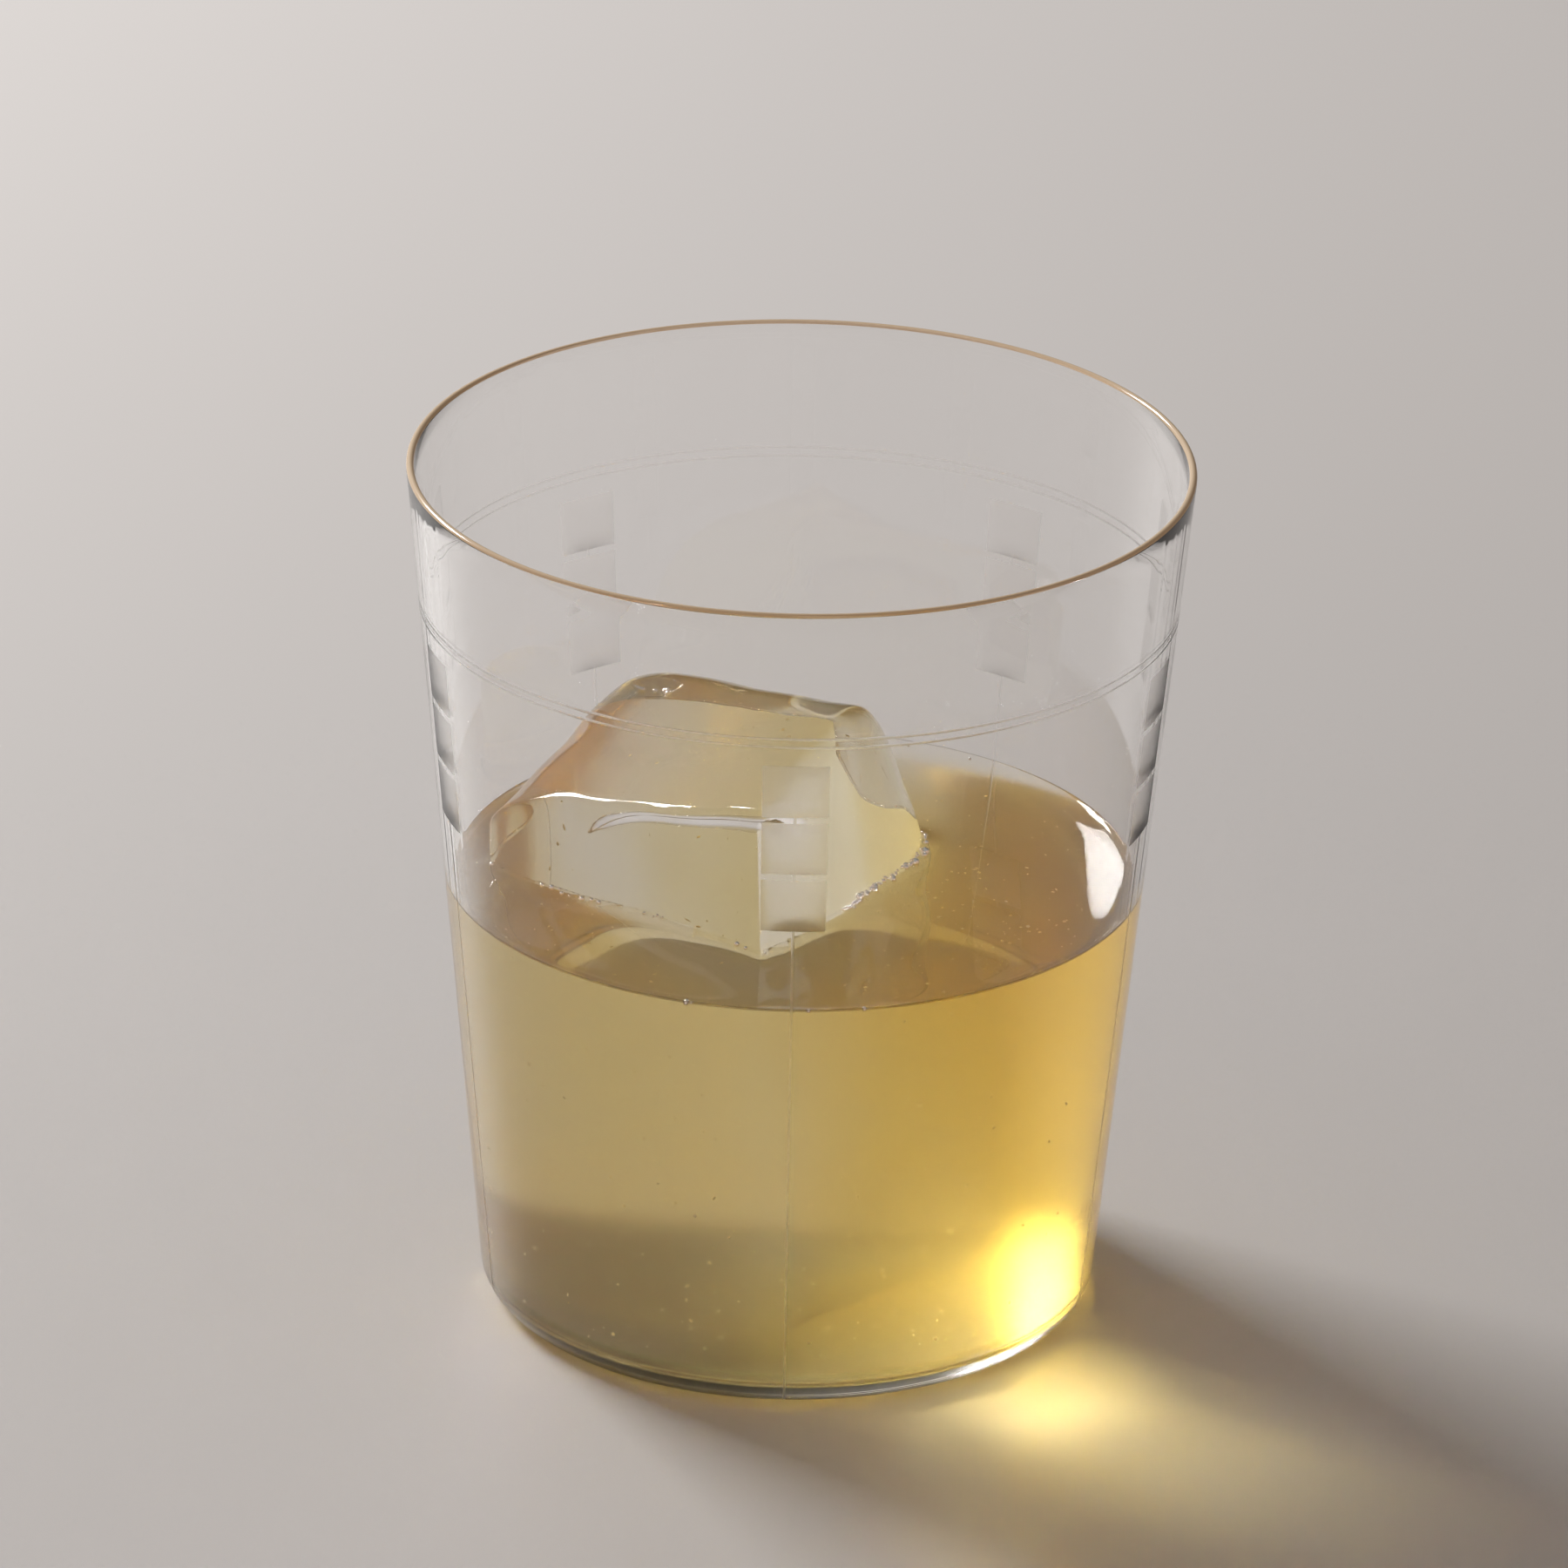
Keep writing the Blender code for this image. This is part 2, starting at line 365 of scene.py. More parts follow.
GLASS_IOR = 1.5
# painted glow: this warm tan stands in for light gathered in the lip, and the low clearness lets it
# show
RIM_PAINTED_GLOW = (0.86, 0.67, 0.46)
RIM_ROUGHNESS = 0.12
RIM_CLEARNESS = 0.3
BLOWN_GLASS = glass_finish(
    "blown glass", (1.0, 1.0, 1.0), roughness=0.0, scale=45.0, strength=0.25, height=0.1 * MM
)
CUT_GLASS = glass_finish(
    "matt cut glass",
    (0.99, 0.98, 0.97),
    roughness=0.33,
    scale=900.0,
    strength=0.1,
    height=0.005 * MM,
    clearness=0.97,
)
RIM_PAINTED_GLOW_GLASS = painted_rim_glow_finish()
print("finishes:", ", ".join(made.name for made in (BLOWN_GLASS, CUT_GLASS, RIM_PAINTED_GLOW_GLASS)))

# %% [markdown]
# ## The tumbler
# A turned shape is a profile swept round an axis, and the Screw modifier would do it.
# The cut pattern, though, needs crisp edges on a wall that stays perfectly smooth
# beside them, and a Boolean leaves long uneven faces that show in glass. So the wall is
# a grid whose lines already run along every edge of the pattern, with a second line
# close beside each one to hold the smooth shading flat.

# %% Sizes of the tumbler
FOOT_RADIUS = 34.7 * MM
WALL = 0.9 * MM
BASE = 2.2 * MM
HEEL_RADIUS = 3.5 * MM
INNER_HEEL_RADIUS = 2.8 * MM
COLUMNS = 5
ROWS = 3
FIRST_TOP = 81.5 * MM
SQUARE_HEIGHT = 6.3 * MM
SQUARE_PITCH = 7.05 * MM
SQUARE_WIDTH = 7.2 * MM
SQUARE_DEPTH = 0.015 * MM
SQUARE_FLATNESS = 0.42
SQUARE_EDGE = 0.10 * MM
LINE_WIDTH = 0.28 * MM
LINE_DEPTH = 0.035 * MM
RING_HEIGHTS = (84.8 * MM, 83.8 * MM)
RING_WIDTH = 0.26 * MM
RING_DEPTH = 0.04 * MM
HOLD = 0.08 * MM  # how far outside an edge of the pattern the holding line runs
LAST_BOTTOM = FIRST_TOP - SQUARE_PITCH * (ROWS - 1) - SQUARE_HEIGHT
PATTERN_SHARE = 0.71  # the share of the height where the pattern's widths are measured
PATTERN_RADIUS = FOOT_RADIUS + (RIM_RADIUS - FOOT_RADIUS) * PATTERN_SHARE
print(f"squares from {LAST_BOTTOM / MM:.1f} to {FIRST_TOP / MM:.1f} mm up")


# %% Lines of the profile
def outer_radius(z):
    return FOOT_RADIUS + (RIM_RADIUS - FOOT_RADIUS) * z / HEIGHT


def inner_radius(z):
    return outer_radius(z) - WALL


def arc(centre, radius, first, last, steps):
    """Points (r, z) along an arc, with angles in degrees from the outward direction."""
    angles = [math.radians(first + (last - first) * k / steps) for k in range(steps + 1)]
    return [(centre[0] + radius * math.cos(a), centre[1] + radius * math.sin(a)) for a in angles]


def heel(radius, inset, floor_z, steps):
    """The rounded corner between the floor and the wall, from the floor outwards."""
    lean = math.degrees(math.atan((RIM_RADIUS - FOOT_RADIUS) / HEIGHT))
    centre_z = floor_z + radius
    centre_r = outer_radius(centre_z) - inset - radius / math.cos(math.radians(lean))
    return arc((centre_r, centre_z), radius, -90.0, -lean, steps)


def filled(marks, step):
    """The sorted marks, with more places between them so that no gap is wider than step."""
    places = sorted(marks)
    made = [places[0]]
    for before, after in zip(places, places[1:]):
        count = max(1, math.ceil((after - before) / step - 1e-6))
        made += [before + (after - before) * k / count for k in range(1, count + 1)]
    return made


# %% The grid of the wall
WALL_STEP = 2.5 * MM
TURN_STEP = math.radians(1.6)


def wall_heights(low, high):
    marks = {low, high, LAST_BOTTOM}
    for row in range(ROWS):
        top = FIRST_TOP - SQUARE_PITCH * row
        bottom = top - SQUARE_HEIGHT
        marks |= {top + HOLD, top, top - SQUARE_EDGE}
        marks |= {bottom + SQUARE_EDGE, bottom, bottom - HOLD}
    for ring in RING_HEIGHTS:
        marks |= {ring, *(ring + side * RING_WIDTH / 2 for side in (-1, 1))}
        marks |= {ring + side * (RING_WIDTH / 2 + HOLD) for side in (-1, 1)}
    return filled(marks, WALL_STEP)


def pattern_angles():
    """Angles round the axis for the grid's upright lines, from 0 to just under a turn."""
    marks = set()
    for column in range(COLUMNS):
        middle = math.tau * column / COLUMNS
        for half in (LINE_WIDTH / 2, LINE_WIDTH / 2 + HOLD):
            marks |= {middle + side * half / PATTERN_RADIUS for side in (-1, 1)}
        for half in (SQUARE_WIDTH / 2 - SQUARE_EDGE, SQUARE_WIDTH / 2, SQUARE_WIDTH / 2 + HOLD):
            marks |= {middle + side * half / PATTERN_RADIUS for side in (-1, 1)}
        marks.add(middle)
    first = min(marks)
    return filled(marks | {first + math.tau}, TURN_STEP)[:-1]


# %% The blank
PLAIN_STEP = 4.0 * MM
HEEL_STEPS = 10
INNER_HEEL_STEPS = 8
LIP_STEPS = 12
FLOOR_STEPS = 6
UNDER_STEPS = 5


def tumbler_profile():
    lip = WALL / 2
    lip_z = HEIGHT - lip
    inside = heel(INNER_HEEL_RADIUS, WALL, BASE, INNER_HEEL_STEPS)
    floor_r = inside[0][0]
    floor = [(floor_r * k / FLOOR_STEPS, BASE) for k in range(1, FLOOR_STEPS)]
    rise = [(inner_radius(z), z) for z in filled({inside[-1][1], lip_z}, PLAIN_STEP)[1:-1]]
    over = arc((outer_radius(lip_z) - lip, lip_z), lip, 180.0, 0.0, LIP_STEPS)
    heel_points = heel(HEEL_RADIUS, 0.0, 0.0, HEEL_STEPS)
    heights = wall_heights(heel_points[-1][1], lip_z)[1:-1]
    fall = [(outer_radius(z), z) for z in reversed(heights)]
    under_r = heel_points[0][0]
    under = [(under_r * k / UNDER_STEPS, 0.0) for k in range(UNDER_STEPS - 1, 0, -1)]
    return [*floor, *inside, *rise, *over, *fall, *reversed(heel_points), *under]


def lathe(name, profile, angles, low_pole, high_pole):
    """Sweeps (r, z) points round Z; the two poles close the first and last ring."""
    shell = bmesh.new()
    rings = []
    for r, z in profile:
        ring = [shell.verts.new((r * math.sin(a), -r * math.cos(a), z)) for a in angles]
        rings.append(ring)
    count = len(angles)
    for first, second in zip(rings, rings[1:]):
        for k in range(count):
            after = (k + 1) % count
            shell.faces.new((first[k], first[after], second[after], second[k]))
    for ring, height in ((rings[0], low_pole), (rings[-1], high_pole)):
        pole = shell.verts.new((0.0, 0.0, height))
        for k in range(count):
            shell.faces.new((ring[k], ring[(k + 1) % count], pole))
    bmesh.ops.recalc_face_normals(shell, faces=shell.faces)
    mesh = bpy.data.meshes.new(name)
    shell.to_mesh(mesh)
    shell.free()
    mesh.shade_smooth()
    return mesh


def link(name, mesh):
    made = bpy.data.objects.new(name, mesh)
    bpy.context.scene.collection.objects.link(made)
    return made


tumbler_blank = link("tumbler_blank", lathe("tumbler", tumbler_profile(), pattern_angles(), BASE, 0.0))
print("blank of the tumbler:", len(tumbler_blank.data.polygons), "faces")

# %% [markdown]
# ## Cutting the pattern with Geometry Nodes
# Every cut follows one rule: five columns, each with three squares, short ticks between
# them and one long line below, under a pair of rings. A node tree states that rule once.
# It works out where a point lies in its column and row, sinks it if it lies in a cut,
# and hands the matt finish to the faces inside. Each square is a shallow wedge, deepest
# at its lower edge, as a flat wheel leaves it.

# %% Geometry Nodes helpers
def new_tree(name, sockets):
    tree = bpy.data.node_groups.new(name, "GeometryNodeTree")
    for label, kind, value in sockets:
        socket = tree.interface.new_socket(label, in_out="INPUT", socket_type=kind)
        if value is not None:
            socket.default_value = value
    tree.interface.new_socket("Geometry", in_out="OUTPUT", socket_type="NodeSocketGeometry")
    return tree, tree.nodes.new("NodeGroupInput").outputs, tree.nodes.new("NodeGroupOutput")


def plug(tree, node, index, value):
    if isinstance(value, bpy.types.NodeSocket):
        tree.links.new(value, node.inputs[index])
    elif value is not None:
        node.inputs[index].default_value = value


def maths(tree, operation, first, second=None, third=None):
    node = tree.nodes.new("ShaderNodeMath")
    node.operation = operation
    for index, value in enumerate((first, second, third)):
        plug(tree, node, index, value)
    return node.outputs[0]


def between(tree, value, low, high):
    """1 where low < value < high, and 0 elsewhere."""
    above = maths(tree, "GREATER_THAN", value, low)
    below = maths(tree, "LESS_THAN", value, high)
    return maths(tree, "MULTIPLY", above, below)


def by_nodes(target, tree, **inputs):
    """Runs a node tree on an object, and replaces its mesh by the result."""
    modifier = target.modifiers.new(tree.name, "NODES")
    modifier.node_group = tree
    for item in tree.interface.items_tree:
        if item.in_out == "INPUT" and item.name.replace(" ", "_") in inputs:
            modifier[item.identifier] = inputs[item.name.replace(" ", "_")]
    depsgraph = bpy.context.evaluated_depsgraph_get()
    mesh = bpy.data.meshes.new_from_object(target.evaluated_get(depsgraph))
    target.modifiers.remove(modifier)
    target.data = mesh


# %% Where the cuts lie
def cut_masks(tree, inputs, slack):
    """Masks of squares, lines and rings, each shrunk by slack, and the place in a row."""
    position = tree.nodes.new("GeometryNodeInputPosition")
    split = tree.nodes.new("ShaderNodeSeparateXYZ")
    tree.links.new(position.outputs[0], split.inputs[0])
    x, y, z = split.outputs
    angle = maths(tree, "ARCTAN2", x, maths(tree, "MULTIPLY", y, -1.0))
    cell = maths(tree, "DIVIDE", math.tau, inputs["Columns"])
    half_cell = maths(tree, "MULTIPLY", cell, 0.5)
    local = maths(tree, "WRAP", angle, half_cell, maths(tree, "MULTIPLY", half_cell, -1.0))
    across = maths(tree, "MULTIPLY", maths(tree, "ABSOLUTE", local), inputs["Pattern Radius"])
    drop = maths(tree, "SUBTRACT", inputs["First Top"], z)
    row = maths(tree, "FLOOR", maths(tree, "DIVIDE", drop, inputs["Pitch"]))
    in_row = maths(tree, "SUBTRACT", drop, maths(tree, "MULTIPLY", row, inputs["Pitch"]))
    square_top = maths(tree, "MULTIPLY", inputs["Edge"], slack)
    square_low = maths(tree, "SUBTRACT", inputs["Square Height"], square_top)
    rows = between(tree, row, -0.5, maths(tree, "SUBTRACT", inputs["Rows"], 0.5))
    half = maths(tree, "SUBTRACT", maths(tree, "MULTIPLY", inputs["Square Width"], 0.5), square_top)
    square = maths(tree, "LESS_THAN", across, half)
    square = maths(tree, "MULTIPLY", square, between(tree, in_row, square_top, square_low))
    square = maths(tree, "MULTIPLY", square, rows)
    lines_low = maths(tree, "MULTIPLY", inputs["Pitch"], inputs["Rows"])
    last_tick = maths(tree, "SUBTRACT", inputs["Pitch"], inputs["Square Height"])
    under_last = maths(tree, "SUBTRACT", lines_low, last_tick)
    low_line = maths(tree, "GREATER_THAN", drop, under_last)
    tick = maths(tree, "GREATER_THAN", in_row, inputs["Square Height"])
    tick_rows = between(tree, row, -0.5, maths(tree, "SUBTRACT", inputs["Rows"], 1.5))
    tick = maths(tree, "MULTIPLY", tick, tick_rows)
    line = maths(tree, "MAXIMUM", low_line, tick)
    half_line = maths(tree, "MULTIPLY", inputs["Line Width"], maths(tree, "SUBTRACT", 0.5, slack * 0.5))
    line = maths(tree, "MULTIPLY", line, maths(tree, "LESS_THAN", across, half_line))
    ring = None
    for name in ("Ring 1", "Ring 2"):
        away = maths(tree, "ABSOLUTE", maths(tree, "SUBTRACT", z, inputs[name]))
        half_ring = maths(tree, "MULTIPLY", inputs["Ring Width"], 0.5 - slack * 0.5)
        one = maths(tree, "LESS_THAN", away, half_ring)
        ring = one if ring is None else maths(tree, "MAXIMUM", ring, one)
    return square, line, ring, in_row, across


# %% The cutting tree
def pattern_tree():
    length = "NodeSocketFloat"
    tree, inputs, output = new_tree(
        "cut pattern",
        (
            ("Geometry", "NodeSocketGeometry", None),
            ("Columns", length, float(COLUMNS)),
            ("Rows", length, float(ROWS)),
            ("First Top", length, FIRST_TOP),
            ("Pitch", length, SQUARE_PITCH),
            ("Square Height", length, SQUARE_HEIGHT),
            ("Square Width", length, SQUARE_WIDTH),
            ("Square Depth", length, SQUARE_DEPTH),
            ("Square Flatness", length, SQUARE_FLATNESS),
            ("Edge", length, SQUARE_EDGE),
            ("Line Width", length, LINE_WIDTH),
            ("Line Depth", length, LINE_DEPTH),
            ("Ring 1", length, RING_HEIGHTS[0]),
            ("Ring 2", length, RING_HEIGHTS[1]),
            ("Ring Width", length, RING_WIDTH),
            ("Ring Depth", length, RING_DEPTH),
            ("Pattern Radius", length, PATTERN_RADIUS),
            ("Matt Finish", "NodeSocketMaterial", None),
        ),
    )
    normal = tree.nodes.new("GeometryNodeInputNormal").outputs[0]
    position = tree.nodes.new("GeometryNodeInputPosition").outputs[0]
    flat = tree.nodes.new("ShaderNodeVectorMath")
    flat.operation = "MULTIPLY"
    tree.links.new(position, flat.inputs[0])
    flat.inputs[1].default_value = (1.0, 1.0, 0.0)
    outward = tree.nodes.new("ShaderNodeVectorMath")
    outward.operation = "NORMALIZE"
    tree.links.new(flat.outputs[0], outward.inputs[0])
    facing = tree.nodes.new("ShaderNodeVectorMath")
    facing.operation = "DOT_PRODUCT"
    tree.links.new(normal, facing.inputs[0])
    tree.links.new(outward.outputs[0], facing.inputs[1])
    outside = maths(tree, "GREATER_THAN", facing.outputs["Value"], 0.5)

    square, line, ring, in_row, across = cut_masks(tree, inputs, 0.5)
    share = maths(tree, "DIVIDE", in_row, inputs["Square Height"])
    half = maths(tree, "MULTIPLY", inputs["Square Width"], 0.5)
    half_squared = maths(tree, "MULTIPLY", half, half)
    gap = maths(tree, "SUBTRACT", half_squared, maths(tree, "MULTIPLY", across, across))
    flat_cut = maths(tree, "DIVIDE", gap, maths(tree, "MULTIPLY", inputs["Pattern Radius"], 2.0))
    wedge = maths(tree, "MULTIPLY", flat_cut, share)
    wedge = maths(tree, "MULTIPLY_ADD", wedge, inputs["Square Flatness"], inputs["Square Depth"])
    depth = maths(tree, "MULTIPLY", square, wedge)
    depth = maths(tree, "MAXIMUM", depth, maths(tree, "MULTIPLY", line, inputs["Line Depth"]))
    depth = maths(tree, "MAXIMUM", depth, maths(tree, "MULTIPLY", ring, inputs["Ring Depth"]))
    depth = maths(tree, "MULTIPLY", maths(tree, "MULTIPLY", depth, outside), -1.0)
    sink = tree.nodes.new("ShaderNodeVectorMath")
    sink.operation = "SCALE"
    tree.links.new(outward.outputs[0], sink.inputs[0])
    tree.links.new(depth, sink.inputs["Scale"])

    # the finish is chosen before the points move, while faces still lie in their rows
    square, line, ring = cut_masks(tree, inputs, 0.0)[:3]
    any_cut = maths(tree, "MAXIMUM", maths(tree, "MAXIMUM", square, line), ring)
    any_cut = maths(tree, "MULTIPLY", any_cut, outside)
    coat = tree.nodes.new("GeometryNodeSetMaterial")
    tree.links.new(inputs["Geometry"], coat.inputs["Geometry"])
    tree.links.new(any_cut, coat.inputs["Selection"])
    tree.links.new(inputs["Matt Finish"], coat.inputs["Material"])
    move = tree.nodes.new("GeometryNodeSetPosition")
    tree.links.new(coat.outputs[0], move.inputs["Geometry"])
    tree.links.new(sink.outputs[0], move.inputs["Offset"])
    tree.links.new(move.outputs[0], output.inputs[0])
    return tree


# %% Cut the pattern
tumbler_blank.data.materials.append(BLOWN_GLASS)
by_nodes(tumbler_blank, pattern_tree(), Matt_Finish=CUT_GLASS)
tumbler = tumbler_blank
tumbler.name = "tumbler_glass"
matt = sum(1 for face in tumbler.data.polygons if face.material_index == 1)
print("tumbler:", len(tumbler.data.polygons), "faces,", matt, "of them matt")


# %% Rim with a painted glow
# the band at the top of the lip that takes the painted glow
RIM_GLOW_BAND = 0.3 * MM


def paint_rim_glow(mesh):
    """Gives the painted warm glow to the faces at the very top of the lip."""
    mesh.materials.append(RIM_PAINTED_GLOW_GLASS)
    slot = len(mesh.materials) - 1
    top = [face for face in mesh.polygons if face.center.z > HEIGHT - RIM_GLOW_BAND]
    for face in top:
        face.material_index = slot
    return len(top)


print("rim:", paint_rim_glow(tumbler.data), "faces")

# %% [markdown]
# ## The block of ice
# The block is cut from a clear slab, and it has melted: its edges are round, its sides
# wave a little, and above the drink it has shrunk more than below. A rounded box is
# made as a grid of points, and each point is carried to its place between eight corner
# points. Slow waves then dent its sides, and the top bulges a little. Its top edge is
# still crisp along the front, and well worn at the back and on the left.

# %% Shape of the ice
LEVEL = 50.0 * MM
ICE_TOP = (
    Vector((-2.6, -24.4, 68.2)) * MM,
    Vector((10.4, 9.4, 68.6)) * MM,
    Vector((-20.0, 32.4, 64.4)) * MM,
    Vector((-34.8, 0.2, 58.9)) * MM,
)
ICE_WAIST = (
    Vector((-2.4, -25.0, 50.2)) * MM,
    Vector((16.8, 9.4, 50.2)) * MM,
    Vector((-17.4, 33.0, 50.2)) * MM,
    Vector((-34.8, 0.0, 50.2)) * MM,
)
ICE_FOOT = (
    Vector((1.0, -22.5, 5.4)) * MM,
    Vector((17.0, 8.0, 5.8)) * MM,
    Vector((-13.0, 26.5, 2.8)) * MM,
    Vector((-29.0, -2.0, 2.6)) * MM,
)
ICE_WAIST_SHARE = 0.74
ICE_WAIST_SOFTNESS = 0.06
ICE_SIZE = (36.0 * MM, 36.0 * MM, 62.0 * MM)
ICE_ROUNDING = ((1.0 * MM, 7.5 * MM), (2.4 * MM, 10.0 * MM), (4.2 * MM, 7.0 * MM))
ICE_CRISP = 0.06  # the share of the top rounding that is left along the front edge
ICE_CROWN = 1.2 * MM
ICE_STEP = 1.0 * MM
ICE_ROUND_STEPS = 7
MELT_DEPTH = 0.35 * MM
MELT_LENGTH = 17.0 * MM
ICE_MIDDLE = (-8.5 * MM, 3.5 * MM)
BACK_WEAR = 1.5  # how fast the wear of the top edge grows from the front to the back
LEFT_WEAR = 8  # the same from right to left, where a high power keeps it to the far end


def past_waist(share):
    softness = ICE_WAIST_SOFTNESS
    return softness * math.log(1 + math.exp((share - ICE_WAIST_SHARE) / softness))


def corner_at(corner, share):
    """Where one standing edge is at a share of its height: straight to the waist, then in."""
    foot, waist, top = ICE_FOOT[corner], ICE_WAIST[corner], ICE_TOP[corner]
    rise = (waist - foot) / ICE_WAIST_SHARE
    turn = (top - foot - rise) / past_waist(1.0)
    return foot + rise * share + turn * past_waist(share)


def side_places(length, low, high):
    """Places along one side of the block, closer together at its two rounded ends."""
    shares = [1 - math.cos(math.pi / 2 * k / ICE_ROUND_STEPS) for k in range(ICE_ROUND_STEPS)]
    flat = filled({low, length - high}, ICE_STEP)
    ends = [length - high * share for share in reversed(shares)]
    return [low * share for share in shares] + flat + ends


def melted(point, grow):
    """Takes a point of the plain box to its place on the melted, leaning block."""
    cores, radii = [], []
    for place, length, (low, high) in zip(point, ICE_SIZE, ICE_ROUNDING):
        cores.append(min(max(place, low), length - high))
        radii.append(low if place < length / 2 else high)
    middle_z = ICE_SIZE[2] / 2
    if point[2] > middle_z:
        # the top edge is crisp along the front, and well worn at the back and the left
        u, v = (cores[k] / (ICE_SIZE[k] - ICE_ROUNDING[k][1]) for k in (0, 1))
        worn = 1 - (1 - u) ** BACK_WEAR * (1 - v**LEFT_WEAR)
        share = (cores[2] - middle_z) / (middle_z - radii[2])
        radii[2] *= ICE_CRISP + (1 - ICE_CRISP) * worn
        cores[2] = middle_z + share * (middle_z - radii[2])
    outward = Vector((point[k] - cores[k]) / radii[k] for k in range(3)).normalized()
    u, v, w = ((cores[k] + outward[k] * (radii[k] + grow)) / ICE_SIZE[k] for k in range(3))
    place = (
        corner_at(0, w) * (1 - u) * (1 - v)
        + corner_at(1, w) * u * (1 - v)
        + corner_at(2, w) * u * v
        + corner_at(3, w) * (1 - u) * v
    )
    place.z += ICE_CROWN * 4 * u * (1 - u) * past_waist(w) / past_waist(1.0)
    wave = math.tau / MELT_LENGTH
    dents = math.sin(wave * place.x + 1.3) * math.sin(wave * place.y) + math.sin(
        wave * place.z * 0.8 + 0.6 + wave * place.x * 0.4
    )
    away = Vector((place.x - ICE_MIDDLE[0], place.y - ICE_MIDDLE[1], 0.0)).normalized()
    return place - away * MELT_DEPTH * dents


# %% Mesh of the ice
def ice_mesh(name, grow=0.0):
    """The block as six grids that share their edges, grown outwards by grow."""
    places = [side_places(length, *ends) for length, ends in zip(ICE_SIZE, ICE_ROUNDING)]
    last = [len(axis) - 1 for axis in places]
    shell = bmesh.new()
    verts = {}

    def vert(index):
        if index not in verts:
            point = [places[k][index[k]] for k in range(3)]
            verts[index] = shell.verts.new(melted(point, grow))
        return verts[index]

    for fixed in range(3):
        first, second = (k for k in range(3) if k != fixed)
        for end in (0, last[fixed]):
            for i in range(last[first]):
                for j in range(last[second]):
                    ring = []
                    for a, b in ((i, j), (i + 1, j), (i + 1, j + 1), (i, j + 1)):
                        index = [0, 0, 0]
                        index[fixed], index[first], index[second] = end, a, b
                        ring.append(vert(tuple(index)))
                    shell.faces.new(ring)
    bmesh.ops.recalc_face_normals(shell, faces=shell.faces)
    mesh = bpy.data.meshes.new(name)
    shell.to_mesh(mesh)
    shell.free()
    mesh.shade_smooth()
    return mesh


ice = link("ice", ice_mesh("ice"))
print("ice:", len(ice.data.polygons), "faces")

# %% [markdown]
# ## Finishes of the ice
# Above the drink, light passes between air and ice, whose index is 1.31. Under the
# drink it passes between punch and ice, and there only the ratio of the two indices
# counts, which is almost 1: that is why a clear block nearly vanishes below the line.
# The mesh has both finishes, and each face takes one by its height.

# %% Ice materials
PUNCH_IOR = 1.345
ICE_IOR = 1.31
ICE_ROUGHNESS = 0.02
ICE_WETTING = 0.3 * MM  # how far above the level the drink still wets the ice


def ice_in_air():
    made = new_material("wet ice")
    tree = made.node_tree
    normal = waves_in(tree, scale=180.0, strength=0.22, height=0.2 * MM)
    shader = clear_shader(tree, (1.0, 1.0, 1.0), ICE_IOR, ICE_ROUGHNESS, normal)
    output_of(tree, shader.outputs["BSDF"])
    return made


def ice_in_punch():
    made = new_material("ice under the drink")
    tree = made.node_tree
    shader = add_node(tree, "ShaderNodeBsdfGlass", IOR=ICE_IOR / PUNCH_IOR, Roughness=0.0)
    shader.inputs["Color"].default_value = (0.99, 0.99, 0.99, 1.0)
    output_of(tree, shader.outputs["BSDF"])
    return made


ice.data.materials.append(ice_in_air())
ice.data.materials.append(ice_in_punch())
for face in ice.data.polygons:
    face.material_index = 0 if face.center.z > LEVEL + ICE_WETTING else 1
print("ice:", sum(face.material_index for face in ice.data.polygons), "faces under the drink")

# %% [markdown]
# ## The punch
# The drink is one closed body. Its side lies just inside the wall of the glass, so that
# no air shows between them. Its surface is drawn up where it wets the glass and the
# ice, over about a millimetre, and that small curve makes the bright line round the
# edge. The ice stands in a pocket of it, cut by a Boolean with a block a hair smaller.

# %% Profile of the punch
MENISCUS_HEIGHT = 1.1 * MM
ICE_MENISCUS_HEIGHT = 0.9 * MM
MENISCUS_LENGTH = 1.1 * MM
WALL_REACH = 0.12 * MM  # how far the drink's side reaches into the glass
SURFACE_STEP = 0.5 * MM
EDGE_STEPS = 14
EDGE_SPACING = 1.7  # above 1, the rings draw closer together towards the wall
PUNCH_SIDES = 240


def punch_profile():
    rim_r = inner_radius(LEVEL)
    fine = [
        rim_r - MENISCUS_LENGTH * 4 * (k / EDGE_STEPS) ** EDGE_SPACING for k in range(EDGE_STEPS + 1)
    ]
    coarse = filled({SURFACE_STEP, fine[-1]}, SURFACE_STEP)[:-1]
    surface = [(r, LEVEL) for r in coarse + list(reversed(fine))]
    edge = [(rim_r + WALL_REACH, LEVEL)]
    low = heel(INNER_HEEL_RADIUS, WALL - WALL_REACH, BASE - WALL_REACH, INNER_HEEL_STEPS)
    heights = filled({low[-1][1], LEVEL}, PLAIN_STEP)[1:-1]
    side = [(outer_radius(z) - WALL + WALL_REACH, z) for z in heights]
    floor = [
        (low[0][0] * k / FLOOR_STEPS, BASE - WALL_REACH) for k in range(FLOOR_STEPS - 1, 0, -1)
    ]
    return surface + edge + list(reversed(side)) + list(reversed(low)) + floor


# %% The drawn-up edge
HAIR = 0.01 * MM


